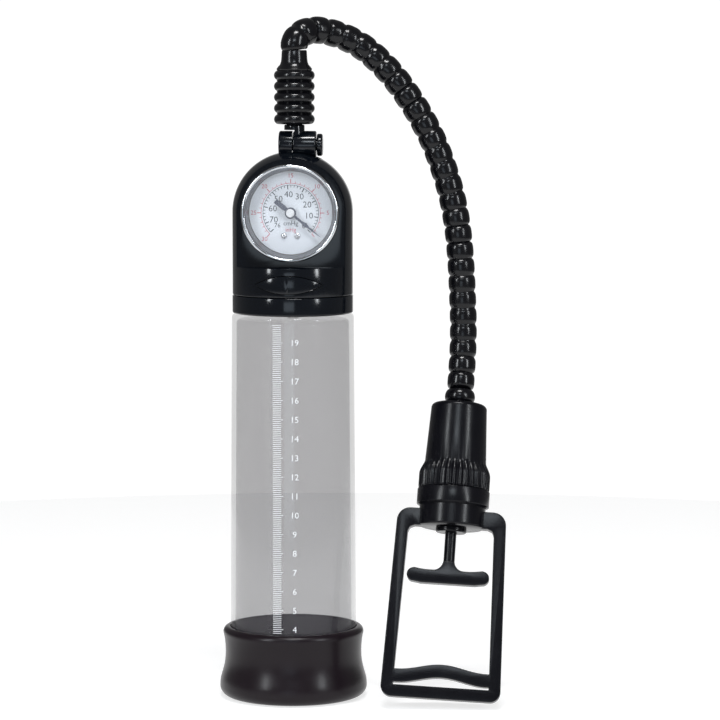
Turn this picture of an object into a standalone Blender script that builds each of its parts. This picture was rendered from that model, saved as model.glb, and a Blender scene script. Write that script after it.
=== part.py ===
"""Hand vacuum pump: clear cylinder with a gauge head, a swivelling hose and a squeeze-handle pump.

The front of the object faces -Y and +Z is up. Sizes below are millimetres; MM turns them into metres.
"""

import math

import bmesh
import bpy
from mathutils import Matrix, Vector

MM = 0.001
GAP = 0.3

# Sides of a round piece: large, middling, small and tiny
ROUND = 28
MIDDLE = 18
SMALL = 12
TINY = 8

# Where the main axes stand
CYLINDER_X = -36.94
GAUGE_Z = 256.5
SWIVEL_Z = 291.6
PUMP_TOP = (87.5, 10.7, 154.0)
PUMP_TILT = math.radians(-16.8)
PUMP_LEAN = math.radians(3.2)

# Clear cylinder
TUBE_BOTTOM = 2.3
TUBE_TOP = 203.2
TUBE_R_BOTTOM = 33.65
TUBE_R_TOP = 32.2
TUBE_WALL = 2.5
PORT_R = 3.0

# Base sleeve
SLEEVE_FOOT_R = 33.0
MOUTH_R = 21.6

# Head
HEAD_R = 31.7
HEAD_WALL = 2.8
BASE_RING_BOTTOM = 203.5
BASE_RING_TOP = 213.0
HEAD_BOTTOM = 213.3
LEDGE_Z = 228.3
FACE_Y = 14.5
CAVITY_TOP = 279.5
RISER_X = -3.6
RISER_Y = 12.0

# Gauge
BEZEL_R = 25.5
CASE_R = 22.8
DIAL_R = 21.7
NEEDLE_REST = -38.7
GEAR_MODULE = 0.3
PINION_TEETH = 12
SECTOR_RATIO = 6
SECTOR_TRAVEL = 43.6
SECTOR_BEARING = -30.0

# Release button
BUTTON_Z = 219.9
BUTTON_LONG = 34.7
BUTTON_TALL = 9.2

# Swivel
EAR_R = 7.3
PIN_R = 3.0
NECK_X = 1.0
NECK_R = 5.35
NECK_TOP = 10.5
SLEEVE_TOP = 49.4

# Hose
HOSE_R = 7.0
HOSE_ROUTE = (
    (1.0, 0.0, 344.2),
    (3.6, 2.8, 349.0),
    (10.6, 9.2, 351.4),
    (19.0, 13.8, 350.2),
    (28.0, 16.4, 347.0),
    (37.1, 17.8, 341.6),
    (46.5, 18.6, 333.2),
    (55.1, 19.0, 323.2),
    (64.9, 19.3, 308.6),
    (73.1, 19.4, 293.0),
    (79.3, 19.4, 276.6),
    (83.6, 19.4, 261.0),
    (86.4, 19.4, 244.2),
    (87.9, 19.5, 227.0),
    (88.7, 19.6, 211.0),
    (89.2, 19.2, 196.0),
    (89.0, 17.6, 181.0),
)

# Pump, measured down its own axis from the barrel's top
CUFF_HEIGHT = 8.0
BARREL_BORE = 12.8
COLLAR_TOP = -46.3
COLLAR_BOTTOM = -66.0
FRAME_TOP = -57.0
FRAME_WEB = -66.0
FRAME_BOTTOM = -156.5
FRAME_HALF_TOP = 28.5
FRAME_HALF_BOTTOM = 31.4
LEG = 6.2
GRIP_Z = -142.0
GRIP_THICK = 6.8
SILL = 6.2
FRAME_DEPTH = 9.0
T_BAR_Z = -92.6
T_BAR_HALF = 21.6
T_BAR_THICK = 7.0
STEM_R = 2.95
PISTON_TOP = -7.0
PISTON_BOTTOM = -15.0

COLOURS = {
    "clear_plastic": ((0.55, 0.55, 0.60, 0.35), 0.08, 0.0),
    "black_rubber": ((0.018, 0.015, 0.018, 1.0), 0.38, 0.0),
    "gloss_black": ((0.008, 0.009, 0.012, 1.0), 0.16, 0.0),
    "satin_black": ((0.012, 0.013, 0.016, 1.0), 0.32, 0.0),
    "chrome": ((0.78, 0.79, 0.81, 1.0), 0.10, 1.0),
    "steel": ((0.55, 0.56, 0.58, 1.0), 0.30, 1.0),
    "brass": ((0.72, 0.53, 0.22, 1.0), 0.30, 1.0),
    "lens_glass": ((0.90, 0.94, 0.96, 0.20), 0.03, 0.0),
    "dial_white": ((0.70, 0.73, 0.78, 1.0), 0.45, 0.0),
    "needle_slate": ((0.05, 0.06, 0.10, 1.0), 0.40, 0.0),
    "cap_white": ((0.80, 0.80, 0.80, 1.0), 0.35, 0.0),
}


def clear_scene():
    for old in list(bpy.data.objects):
        bpy.data.objects.remove(old, do_unlink=True)


def material(kind):
    found = bpy.data.materials.get(kind)
    if found:
        return found
    colour, roughness, metallic = COLOURS[kind]
    made = bpy.data.materials.new(kind)
    made.use_nodes = True
    shader = made.node_tree.nodes["Principled BSDF"]
    shader.inputs["Base Color"].default_value = colour
    shader.inputs["Roughness"].default_value = roughness
    shader.inputs["Metallic"].default_value = metallic
    shader.inputs["Alpha"].default_value = colour[3]
    return made


def empty(name, place, parent=None, rotation=(0.0, 0.0, 0.0)):
    frame = bpy.data.objects.new(name, None)
    bpy.context.scene.collection.objects.link(frame)
    frame.parent = parent
    frame.location = Vector(place) * MM
    frame.rotation_euler = rotation
    return frame


def add_object(name, bm, kind, parent, place=(0, 0, 0), rotation=(0, 0, 0), smooth=35.0):
    """Finishes a bmesh in millimetres as an object in metres, with outward faces and its material."""
    bmesh.ops.remove_doubles(bm, verts=bm.verts, dist=0.0005)
    bmesh.ops.recalc_face_normals(bm, faces=bm.faces)
    bmesh.ops.scale(bm, vec=(MM, MM, MM), verts=bm.verts)
    mesh = bpy.data.meshes.new(name)
    bm.to_mesh(mesh)
    bm.free()
    mesh.shade_smooth()
    mesh.set_sharp_from_angle(angle=math.radians(smooth))
    made = bpy.data.objects.new(name, mesh)
    bpy.context.scene.collection.objects.link(made)
    made.parent = parent
    made.location = Vector(place) * MM
    made.rotation_euler = rotation
    if kind:
        mesh.materials.append(material(kind))
    return made


def arc(centre_r, centre_z, radius, start, end, steps):
    """Points of an arc in the profile plane, angles in degrees from +r towards +z."""
    points = []
    for i in range(steps + 1):
        a = math.radians(start + (end - start) * i / steps)
        points.append((centre_r + radius * math.cos(a), centre_z + radius * math.sin(a)))
    return points


def turned_mesh(profile, steps):
    """Spins a closed (r, z) profile about Z."""
    bm = bmesh.new()
    ring = [bm.verts.new((r, 0.0, z)) for r, z in profile]
    edges = []
    for a, b in zip(ring, ring[1:] + ring[:1]):
        if a.co.x > 1e-6 or b.co.x > 1e-6:
            edges.append(bm.edges.new((a, b)))
    bmesh.ops.spin(
        bm, geom=ring + edges, cent=(0, 0, 0), axis=(0, 0, 1), angle=math.tau, steps=steps, use_merge=True
    )
    return bm


def turned(name, profile, steps, kind, parent, place=(0, 0, 0), rotation=(0, 0, 0)):
    return add_object(name, turned_mesh(profile, steps), kind, parent, place, rotation)


def rod_profile(radius, low, high, edge=0.0):
    if edge <= 0.0:
        return [(0, low), (radius, low), (radius, high), (0, high)]
    bottom = [(0, low), (radius - edge, low), (radius, low + edge)]
    return bottom + [(radius, high - edge), (radius - edge, high), (0, high)]


def ring_profile(inner, outer, low, high, edge=0.0):
    if edge <= 0.0:
        return [(inner, low), (outer, low), (outer, high), (inner, high)]
    bottom = [(inner, low), (outer - edge, low), (outer, low + edge)]
    return bottom + [(outer, high - edge), (outer - edge, high), (inner, high)]


def prism_mesh(outline, low, high):
    """Extrudes an (x, z) outline along Y from low to high."""
    bm = bmesh.new()
    face = bm.faces.new([bm.verts.new((x, low, z)) for x, z in outline])
    grown = bmesh.ops.extrude_face_region(bm, geom=[face])
    moved = [g for g in grown["geom"] if isinstance(g, bmesh.types.BMVert)]
    bmesh.ops.translate(bm, vec=(0, high - low, 0), verts=moved)
    return bm


def prism(name, outline, low, high, kind, parent, place=(0, 0, 0), rotation=(0, 0, 0)):
    return add_object(name, prism_mesh(outline, low, high), kind, parent, place, rotation)


def box_mesh(low, high):
    bm = bmesh.new()
    size = Vector(high) - Vector(low)
    middle = (Vector(high) + Vector(low)) / 2
    bmesh.ops.create_cube(bm, size=1.0, matrix=Matrix.Translation(middle) @ Matrix.Diagonal(size).to_4x4())
    return bm


def boolean(target, tool, operation, solver="EXACT"):
    tool.hide_render = True
    tool.display_type = "WIRE"
    change = target.modifiers.new(operation.lower(), "BOOLEAN")
    change.operation = operation
    change.solver = solver
    change.object = tool


def cut(target, tool, solver="EXACT"):
    boolean(target, tool, "DIFFERENCE", solver)


def join(target, tool, solver="EXACT"):
    boolean(target, tool, "UNION", solver)


def bevel(target, width, segments=2, angle=40.0):
    change = target.modifiers.new("edges", "BEVEL")
    change.width = width * MM
    change.segments = segments
    change.limit_method = "ANGLE"
    change.angle_limit = math.radians(angle)


def cutter_rod(name, radius, low, high, parent, place=(0, 0, 0), rotation=(0, 0, 0), steps=24):
    return turned(name, rod_profile(radius, low, high), steps, None, parent, place, rotation)


def cutter_box(name, low, high, parent, place=(0, 0, 0)):
    return add_object(name, box_mesh(low, high), None, parent, place)


MANIFOLD = "MANIFOLD"
ALONG_X = (0.0, math.pi / 2, 0.0)
ALONG_Y = (math.pi / 2, 0.0, 0.0)


def tube_radius(z):
    """Outer radius of the drafted cylinder at a height."""
    t = (z - TUBE_BOTTOM) / (TUBE_TOP - TUBE_BOTTOM)
    return TUBE_R_BOTTOM + (TUBE_R_TOP - TUBE_R_BOTTOM) * t


def make_cylinder(axis):
    edge = 2.0
    plate = 3.0
    ceiling = TUBE_TOP - plate
    profile = [(tube_radius(TUBE_BOTTOM) - TUBE_WALL, TUBE_BOTTOM), (TUBE_R_BOTTOM, TUBE_BOTTOM)]
    profile += arc(TUBE_R_TOP - edge, TUBE_TOP - edge, edge, 0, 90, 3)
    profile += [(PORT_R, TUBE_TOP), (PORT_R, ceiling)]
    profile += arc(TUBE_R_TOP - TUBE_WALL - edge, ceiling - edge, edge, 90, 0, 2)
    turned("cylinder_tube", profile, ROUND, "clear_plastic", axis)


def make_sleeve(axis):
    rim_z = 34.0
    rim_r = 3.0
    inside = [(tube_radius(z) + GAP, z) for z in (36.6, TUBE_BOTTOM - GAP)]
    lip = [(30.6, 2.0), (27.6, 5.2), (22.6, 8.1), (MOUTH_R, 7.4), (25.0, 2.6), (27.5, 0.0)]
    foot = [(SLEEVE_FOOT_R, 0.0), (35.6, 0.7), (37.4, 2.2), (38.6, 4.6), (38.95, 7.5), (38.7, 10.0)]
    waist = [(37.7, 13.5), (36.6, 17.0), (36.1, 20.5), (36.05, 24.0), (36.3, 28.0), (36.5, 31.0)]
    rim = arc(37.2 - rim_r, rim_z, rim_r, -20, 100, 5)
    turned("base_sleeve", inside + lip + foot + waist + rim, ROUND, "black_rubber", axis)


def make_head_base(axis):
    bottom = BASE_RING_BOTTOM
    top = BASE_RING_TOP
    profile = [(PORT_R, bottom + 2.0), (20.0, bottom + 2.0), (20.0, bottom)]
    profile += [(30.8, bottom), (31.8, bottom + 1.0)]
    profile += [(31.8, top - 0.5), (31.3, top), (26.2, top)]
    profile += [(26.2, top - 4.0), (PORT_R, top - 4.0)]
    turned("head_base", profile, ROUND, "gloss_black", axis)
    seal = ring_profile(PORT_R + 1.5, 19.4, TUBE_TOP + GAP, bottom + 2.0 - GAP)
    turned("tube_gasket", seal, MIDDLE, "black_rubber", axis)


def almond(length, height, steps=8):
    """Outline of two equal arcs meeting in a point at each end."""
    radius = (length * length / 4 + height * height / 4) / height
    half = math.asin(length / 2 / radius)
    points = []
    for side in (1, -1):
        for i in range(steps):
            a = -half + 2 * half * i / steps
            points.append((side * radius * math.sin(a), side * (radius * math.cos(a) - radius + height / 2)))
    return points


def make_head_body(axis):
    dome = arc(0, GAUGE_Z, HEAD_R, 0, 90, 10)
    shell = [(0, HEAD_BOTTOM), (HEAD_R - 0.5, HEAD_BOTTOM), (HEAD_R, HEAD_BOTTOM + 0.5)] + dome
    body = turned("head_body", shell, ROUND, "gloss_black", axis)

    front = cutter_box("head_front_cut", (-40, -40, LEDGE_Z), (40, -FACE_Y, 300), axis)
    cut(body, front, MANIFOLD)

    ear = turned("head_ear", rod_profile(EAR_R, -7.0, 4.0, 0.8), MIDDLE, None, axis, (0, 0, SWIVEL_Z), ALONG_X)
    join(body, ear, MANIFOLD)

    inner = HEAD_R - HEAD_WALL
    room = turned(
        "head_room", [(0, 200), (inner, 200)] + arc(0, GAUGE_Z, inner, 0, 90, 7), ROUND, None, axis
    )
    front = cutter_box("room_front", (-40, -40, LEDGE_Z - HEAD_WALL), (40, HEAD_WALL - FACE_Y, 300), axis)
    cut(room, front, MANIFOLD)
    cut(room, cutter_box("room_ceiling", (-40, -40, CAVITY_TOP), (40, 40, 300), axis), MANIFOLD)
    cut(body, room, MANIFOLD)

    saddle = cutter_rod("saddle_cut", EAR_R + 0.5, 0.1, 25.0, axis, (0, 0, SWIVEL_Z), ALONG_X, MIDDLE)
    cut(body, saddle, MANIFOLD)
    bore = cutter_rod("ear_bore", PIN_R + GAP, -5.2, 5.0, axis, (0, 0, SWIVEL_Z), ALONG_X, SMALL)
    cut(body, bore, MANIFOLD)

    rise = Vector((0, -RISER_Y, SWIVEL_Z - CAVITY_TOP + 1.0))
    slope = (-math.atan2(rise.y, rise.z), 0.0, 0.0)
    passage = (RISER_X, RISER_Y, CAVITY_TOP - 1.0)
    cut(body, cutter_rod("head_passage", 1.4, -1.0, rise.length, axis, passage, slope, TINY), MANIFOLD)

    hole = cutter_rod("gauge_hole", CASE_R + GAP, 8.0, 30.0, axis, (0, 0, GAUGE_Z), ALONG_Y, ROUND)
    cut(body, hole, MANIFOLD)
    slot = almond(BUTTON_LONG + 0.8, BUTTON_TALL + 0.8)
    cut(body, prism("button_hole", slot, -40.0, -20.0, None, axis, (0, 0, BUTTON_Z)), MANIFOLD)


def make_release(axis, button_axis):
    front = almond(BUTTON_LONG, BUTTON_TALL)
    button = prism("release_button", front, -33.0, -25.0, "gloss_black", button_axis)
    round_face = cutter_rod("button_face", HEAD_R + 0.8, -20.0, 20.0, button_axis, (0, 0, 0), (0, 0, 0), ROUND)
    boolean(button, round_face, "INTERSECT")
    flange = cutter_box("button_flange", (-13.0, -25.2, -6.0), (13.0, -23.4, 5.2), button_axis)
    join(button, flange)
    join(button, cutter_rod("button_stem", 2.0, 20.0, 24.0, button_axis, (0, 0, 0), ALONG_Y, SMALL))
    tail = turned("button_tail", rod_profile(2.0, 5.5, 20.5), SMALL, None, button_axis, (0, 0, 0), ALONG_Y)
    join(button, tail)
    coil("button_spring", 3.4, 0.4, 5, 9.2, 23.0, "steel", axis, (0, 0, BUTTON_Z), ALONG_Y, 10, 4)
    seal = arc(2.9, 0.0, 0.55, 0, 360, 6)[:-1]
    turned("valve_seal", seal, SMALL, "black_rubber", axis, (0, -8.3, BUTTON_Z), ALONG_Y)


def coil(name, radius, wire, turns, low, high, kind, parent, place, rotation, per_turn, sides):
    """A closed helical spring about local Z between two heights."""
    bm = bmesh.new()
    count = turns * per_turn
    low += wire
    high -= wire
    rings = []
    for i in range(count + 1):
        a = math.tau * i / per_turn
        z = low + (high - low) * i / count
        ring = []
        for k in range(sides):
            b = math.tau * k / sides
            r = radius + wire * math.cos(b)
            ring.append(bm.verts.new((r * math.cos(a), r * math.sin(a), z + wire * math.sin(b))))
        rings.append(ring)
    for one, two in zip(rings, rings[1:]):
        for k in range(sides):
            n = (k + 1) % sides
            bm.faces.new((one[k], one[n], two[n], two[k]))
    bm.faces.new(rings[0])
    bm.faces.new(rings[-1])
    return add_object(name, bm, kind, parent, place, rotation)


def make_manifold(axis):
    floor = BASE_RING_TOP - 4.0 + GAP
    top = 228.0
    block = add_object(
        "air_manifold", box_mesh((-8.0, -8.0, floor), (8.0, 15.0, top)), "satin_black", axis
    )
    cut(block, cutter_rod("manifold_bore", 1.8, floor - 2, top + 2, axis, (0, 0, 0), (0, 0, 0), TINY), MANIFOLD)
    valve = cutter_rod("manifold_valve", 2.35, 2.0, 12.0, axis, (0, 0, BUTTON_Z), ALONG_Y, SMALL)
    cut(block, valve, MANIFOLD)
    recess = cutter_rod("manifold_recess", 4.0, 7.2, 12.0, axis, (0, 0, BUTTON_Z), ALONG_Y, SMALL)
    cut(block, recess, MANIFOLD)
    side = (RISER_X, RISER_Y, 0)
    cut(block, cutter_rod("manifold_riser", 1.4, top - 6, top + 2, axis, side, (0, 0, 0), TINY), MANIFOLD)
    cut(block, cutter_rod("manifold_link", 1.2, -14.0, 1.0, axis, (0, 0, top - 5), ALONG_Y, TINY), MANIFOLD)
    across = cutter_rod("manifold_cross", 1.2, -5.0, 1.0, axis, (0, RISER_Y, top - 5), ALONG_X, TINY)
    cut(block, across, MANIFOLD)
    turned(
        "air_riser", ring_profile(1.4, 2.5, top + GAP, CAVITY_TOP - GAP), SMALL, "black_rubber", axis, side
    )


def gear_outline(teeth, pitch, first, count, add=0.2, drop=0.34, root=0.29, tip=0.12):
    """Outline points of straight-sided teeth around the pitch radius, starting at tooth number first."""
    points = []
    step = math.tau / teeth
    for i in range(first, first + count):
        middle = i * step
        foot = pitch - drop
        crest = pitch + add
        for radius, share in ((foot, -root), (crest, -tip), (crest, tip), (foot, root)):
            a = middle + share * step
            points.append((radius * math.cos(a), radius * math.sin(a)))
    return points


def flat_plate(outline, low, high):
    """Extrudes an (x, y) outline from z low to z high."""
    bm = bmesh.new()
    face = bm.faces.new([bm.verts.new((x, y, low)) for x, y in outline])
    grown = bmesh.ops.extrude_face_region(bm, geom=[face])
    moved = [g for g in grown["geom"] if isinstance(g, bmesh.types.BMVert)]
    bmesh.ops.translate(bm, vec=(0, 0, high - low), verts=moved)
    return bm


def make_gauge_shell(gauge):
    case = [(0, -7.0), (CASE_R, -7.0), (CASE_R, 14.2), (CASE_R - 0.8, 14.2), (CASE_R - 0.8, -5.8), (0, -5.8)]
    shell = turned("gauge_case", case, ROUND, "satin_black", gauge)
    cut(shell, cutter_rod("case_stem_hole", 4.6, 17.0, 30.0, gauge, (0, 0, 1.0), ALONG_Y, SMALL))

    outside = [(23.4, 14.8), (25.0, 14.8), (BEZEL_R, 15.3)] + arc(BEZEL_R - 1.0, 19.6, 1.0, 0, 90, 4)
    lip = [(24.0, 20.6), (23.6, 20.1), (23.6, 19.4), (24.6, 19.4), (24.6, 17.8), (23.7, 17.8)]
    turned("gauge_bezel", outside + lip + [(22.3, 14.8)], ROUND, "chrome", gauge)
    turned("gauge_lens", rod_profile(24.3, 18.1, 19.1), ROUND, "lens_glass", gauge)

    dial = turned("gauge_dial", ring_profile(1.3, DIAL_R, 12.2, 12.8), ROUND, "dial_white", gauge)
    for side, label in ((-1, "left"), (1, "right")):
        place = (side * 3.5, -11.9, 0)
        cut(dial, cutter_rod("dial_hole_" + label, 1.0, 11.0, 14.0, gauge, place, (0, 0, 0), TINY))
        head = [(0, 9.9), (0.6, 9.9), (0.6, 13.1), (1.55, 13.1), (1.55, 13.5), (1.0, 13.9), (0, 14.0)]
        turned("dial_screw_" + label, head, SMALL, "steel", gauge, place)


def make_gauge_socket(gauge):
    block = add_object("gauge_socket", box_mesh((-5.0, -21.0, -3.5), (5.0, -14.6, 4.0)), "brass", gauge)
    join(block, cutter_rod("socket_stem", 4.2, 20.0, 27.8, gauge, (0, 0, 1.0), ALONG_Y, SMALL))
    cut(block, cutter_rod("socket_bore", 1.5, 17.0, 30.0, gauge, (0, 0, 1.0), ALONG_Y, TINY))

    bm = bmesh.new()
    start = math.radians(-66)
    sweep = math.radians(250)
    radius = 17.0
    steps = 28
    rings = []
    for i in range(steps + 1):
        a = start + sweep * i / steps
        ring = []
        for k in range(8):
            b = math.tau * k / 8
            r = radius + 1.0 * math.cos(b)
            ring.append(bm.verts.new((r * math.cos(a), r * math.sin(a), -0.5 + 2.2 * math.sin(b))))
        rings.append(ring)
    for one, two in zip(rings, rings[1:]):
        for k in range(8):
            n = (k + 1) % 8
            bm.faces.new((one[k], one[n], two[n], two[k]))
    bm.faces.new(rings[0])
    bm.faces.new(rings[-1])
    add_object("bourdon_tube", bm, "brass", gauge)


def sector_pivot():
    a = math.radians(SECTOR_BEARING)
    reach = GEAR_MODULE * PINION_TEETH * (1 + SECTOR_RATIO) / 2
    return (reach * math.cos(a), reach * math.sin(a), 0.0)


def make_movement(gauge):
    outline = [(-9.0, -13.6), (13.0, -13.6), (14.5, -10.0), (14.5, 3.0), (9.0, 8.0), (-9.0, 8.0)]
    frame = add_object("movement_frame", flat_plate(outline, 10.3, 11.3), "brass", gauge)
    join(frame, add_object("movement_back", flat_plate(outline, 4.6, 5.6), None, gauge))
    for i, (x, y) in enumerate(((-7.0, 6.0), (-7.0, -11.0))):
        post = cutter_rod(f"movement_post_{i}", 1.2, 5.0, 11.0, gauge, (x, y, 0), (0, 0, 0), TINY)
        join(frame, post)
    cut(frame, cutter_rod("shaft_hole", 1.2, 4.0, 12.0, gauge, (0, 0, 0), (0, 0, 0), TINY))
    cut(frame, cutter_rod("pivot_hole", 1.2, 4.0, 12.0, gauge, sector_pivot(), (0, 0, 0), TINY))
    for side in (-1, 1):
        place = (side * 3.5, -11.9, 0)
        cut(frame, cutter_rod(f"screw_hole_{side}", 1.0, 9.0, 12.0, gauge, place, (0, 0, 0), TINY))


def make_needle(gauge, needle_axis):
    outline = [(20.2, 0.0), (12.0, 0.55), (9.8, 1.25), (7.6, 0.6), (0.0, 0.75), (-2.4, 0.8), (-4.2, 1.3)]
    outline += [(-10.1, 1.3), (-10.1, -1.3), (-4.2, -1.3), (-2.4, -0.8), (0.0, -0.75), (7.6, -0.6)]
    outline += [(9.8, -1.25), (12.0, -0.55)]
    needle = add_object("needle", flat_plate(outline, 14.6, 15.1), "needle_slate", needle_axis)
    hub = turned("needle_hub_disc", rod_profile(3.0, 14.4, 15.5), SMALL, None, needle_axis)
    join(needle, hub)
    cut(needle, cutter_rod("needle_bore", 1.1, 14.0, 16.0, needle_axis, (0, 0, 0), (0, 0, 0), TINY))
    turned("needle_cap", rod_profile(2.2, 15.8, 16.7, 0.4), SMALL, "cap_white", needle_axis)

    pitch = GEAR_MODULE * PINION_TEETH / 2
    teeth = gear_outline(PINION_TEETH, pitch, 0, PINION_TEETH)
    shaft = add_object("needle_shaft", flat_plate(teeth, 7.6, 9.6), "brass", needle_axis)
    shaft.rotation_euler = (0, 0, math.radians(SECTOR_BEARING - NEEDLE_REST))
    join(shaft, cutter_rod("shaft_rod", 0.8, 3.6, 15.2, needle_axis, (0, 0, 0), (0, 0, 0), TINY))


def make_sector(sector_axis):
    teeth = PINION_TEETH * SECTOR_RATIO
    pitch = GEAR_MODULE * teeth / 2
    step = math.tau / teeth
    towards = math.radians(SECTOR_BEARING + 180.0)
    count = 13
    ahead = round(math.radians(SECTOR_TRAVEL) / 2 / step)
    rim = gear_outline(teeth, pitch, ahead - count // 2, count)
    rim = [Matrix.Rotation(towards + step / 2, 2) @ Vector(p) for p in rim]
    root = Vector((2.2, 0.0))
    middle = towards + ahead * step
    hub = [Matrix.Rotation(middle + math.radians(a), 2) @ root for a in (80, 130, 180, 230, 280)]
    plate = flat_plate([tuple(p) for p in rim + hub], 8.0, 9.2)
    sector = add_object("sector_gear", plate, "brass", sector_axis)
    join(sector, cutter_rod("sector_staff", 0.8, 3.6, 11.6, sector_axis, (0, 0, 0), (0, 0, 0), TINY))


def make_swivel(axis, swivel):
    pin = [(0, -4.8), (PIN_R, -4.8), (PIN_R, 13.0), (5.4, 13.0)]
    pin += [(5.85, 13.4), (5.85, 14.7), (4.6, 15.6), (0, 15.9)]
    bolt = turned("swivel_pin", pin, MIDDLE, "gloss_black", axis, (0, 0, SWIVEL_Z), ALONG_X)
    cut(bolt, cutter_rod("pin_bore", 1.4, -6.0, 8.5, axis, (0, 0, SWIVEL_Z), ALONG_X, TINY))
    cut(bolt, cutter_rod("pin_port", 1.0, 0.0, 6.0, axis, (5.0, 0, SWIVEL_Z), (0, 0, 0), TINY))

    drum = rod_profile(EAR_R, 0.5, 12.6, 0.6)
    elbow = turned("hose_elbow", drum, MIDDLE, "gloss_black", swivel, (0, 0, 0), ALONG_X)
    neck = [(0, 0), (NECK_R, 0), (NECK_R, NECK_TOP), (4.2, NECK_TOP), (4.2, 30.0), (0, 30.0)]
    neck_part = turned("elbow_neck", neck, MIDDLE, None, swivel, (NECK_X, 0, 0))
    cut(neck_part, cutter_box("neck_clearance", (-9.0, -9.0, -3.0), (1.4, 9.0, EAR_R + 0.5), swivel))
    join(elbow, neck_part)
    cut(elbow, cutter_rod("elbow_bore", PIN_R + GAP, -3.0, 14.0, swivel, (0, 0, 0), ALONG_X, SMALL))
    cut(elbow, cutter_rod("elbow_way", 1.6, 1.0, 32.0, swivel, (2.4, 0, 0), (0, 0, 0), TINY))


def make_hose_sleeve(swivel):
    pitch = 5.73
    top_bead = 327.9 - SWIVEL_Z
    profile = [(4.6, NECK_TOP + GAP), (9.2, NECK_TOP + GAP)]
    for i in range(5):
        middle = top_bead - pitch * (4 - i)
        if i:
            profile.append((9.55, middle - pitch / 2))
        profile += arc(7.9, middle, 2.8, -55, 55, 3)
    profile += [(9.0, top_bead + 3.6), (7.4, top_bead + 5.4), (6.8, top_bead + 8.0)]
    profile += [(6.55, SLEEVE_TOP - 0.3), (6.3, SLEEVE_TOP), (4.6, SLEEVE_TOP)]
    turned("hose_sleeve", profile, MIDDLE, "black_rubber", swivel, (NECK_X, 0, 0))


def smooth_route(points, spacing):
    """Evenly spaced points along a Catmull-Rom curve through the given points."""
    nodes = [Vector(p) for p in points]
    nodes = [nodes[0] * 2 - nodes[1]] + nodes + [nodes[-1] * 2 - nodes[-2]]
    dense = []
    for a, b, c, d in zip(nodes, nodes[1:], nodes[2:], nodes[3:]):
        for i in range(24):
            t = i / 24
            bend = (2 * a - 5 * b + 4 * c - d) * t ** 2 + (3 * b - a - 3 * c + d) * t ** 3
            dense.append(0.5 * (2 * b + (c - a) * t + bend))
    dense.append(nodes[-2])
    lengths = [0.0]
    for one, two in zip(dense, dense[1:]):
        lengths.append(lengths[-1] + (two - one).length)
    count = round(lengths[-1] / spacing)
    evenly = []
    for i in range(count + 1):
        want = lengths[-1] * i / count
        k = min(max(j for j, at in enumerate(lengths) if at <= want + 1e-9), len(dense) - 2)
        share = (want - lengths[k]) / max(lengths[k + 1] - lengths[k], 1e-9)
        evenly.append(dense[k].lerp(dense[k + 1], share))
    return evenly


def make_hose(swivel, pump):
    turn = pump.matrix_basis.to_3x3()
    top = Vector(PUMP_TOP)
    end = top + turn @ Vector((0, 0, CUFF_HEIGHT + GAP))
    lead = top + turn @ Vector((0, 0, CUFF_HEIGHT + 4.0))
    start = Vector((NECK_X, 0, SWIVEL_Z + SLEEVE_TOP + GAP))
    points = [start] + smooth_route(list(HOSE_ROUTE) + [tuple(lead)], HOSE_R) + [end]
    curve = bpy.data.curves.new("hose", "CURVE")
    curve.dimensions = "3D"
    curve.bevel_depth = HOSE_R * MM
    curve.bevel_resolution = 3
    curve.use_fill_caps = True
    spline = curve.splines.new("POLY")
    spline.points.add(len(points) - 1)
    shift = Vector((0, 0, SWIVEL_Z))
    for target, p in zip(spline.points, points):
        target.co = (*((p - shift) * MM), 1.0)
    hose = bpy.data.objects.new("hose", curve)
    bpy.context.scene.collection.objects.link(hose)
    hose.parent = swivel
    curve.materials.append(material("black_rubber"))


def make_barrel(pump):
    cuff = [(3.0, GAP), (7.2, GAP), (8.0, 1.2)]
    cuff += [(8.0, CUFF_HEIGHT - 1.4), (7.0, CUFF_HEIGHT), (3.0, CUFF_HEIGHT)]
    turned("hose_cuff", cuff, MIDDLE, "black_rubber", pump)

    crown = arc(12.35, -2.4, 2.4, 90, 0, 4)
    profile = [(2.2, 0.0)] + crown + [(16.25, -31.5), (16.9, -33.0), (18.5, -36.5)]
    profile += [(18.8, -38.0), (18.8, -45.6), (18.4, -46.0), (15.2, -46.0), (15.2, -52.0)]
    profile += [(BARREL_BORE, -52.0), (BARREL_BORE, -3.5), (2.2, -3.5)]
    flutes = 18
    bm = turned_mesh(profile, flutes * 2)
    bmesh.ops.remove_doubles(bm, verts=bm.verts, dist=0.0005)
    for v in bm.verts:
        flat = Vector((v.co.x, v.co.y))
        turn_number = round(math.atan2(flat.y, flat.x) / (math.tau / (flutes * 2)))
        if flat.length > 17.5 and turn_number % 2:
            shrink = (flat.length - 0.9) / flat.length
            v.co.x *= shrink
            v.co.y *= shrink
    add_object("pump_barrel", bm, "satin_black", pump)
    turned("inlet_valve", rod_profile(5.0, -4.8, -3.8), SMALL, "black_rubber", pump)


def rounded(corners, radii, steps=4):
    """A closed outline with each corner replaced by an arc of its own radius."""
    points = []
    count = len(corners)
    for i in range(count):
        here = Vector(corners[i])
        before = (Vector(corners[i - 1]) - here).normalized()
        after = (Vector(corners[(i + 1) % count]) - here).normalized()
        half = before.angle(after) / 2
        middle = here + (before + after).normalized() * (radii[i] / math.sin(half))
        one = here + before * (radii[i] / math.tan(half)) - middle
        two = here + after * (radii[i] / math.tan(half)) - middle
        turn = one.angle_signed(two)
        for k in range(steps + 1):
            spun = Matrix.Rotation(-turn * k / steps, 2) @ one
            points.append(tuple(middle + spun))
    return points


def leg_half(z):
    """Half of the frame's outer width at a height on the pump's axis."""
    t = (FRAME_TOP - z) / (FRAME_TOP - FRAME_BOTTOM)
    return FRAME_HALF_TOP + (FRAME_HALF_BOTTOM - FRAME_HALF_TOP) * t


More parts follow.
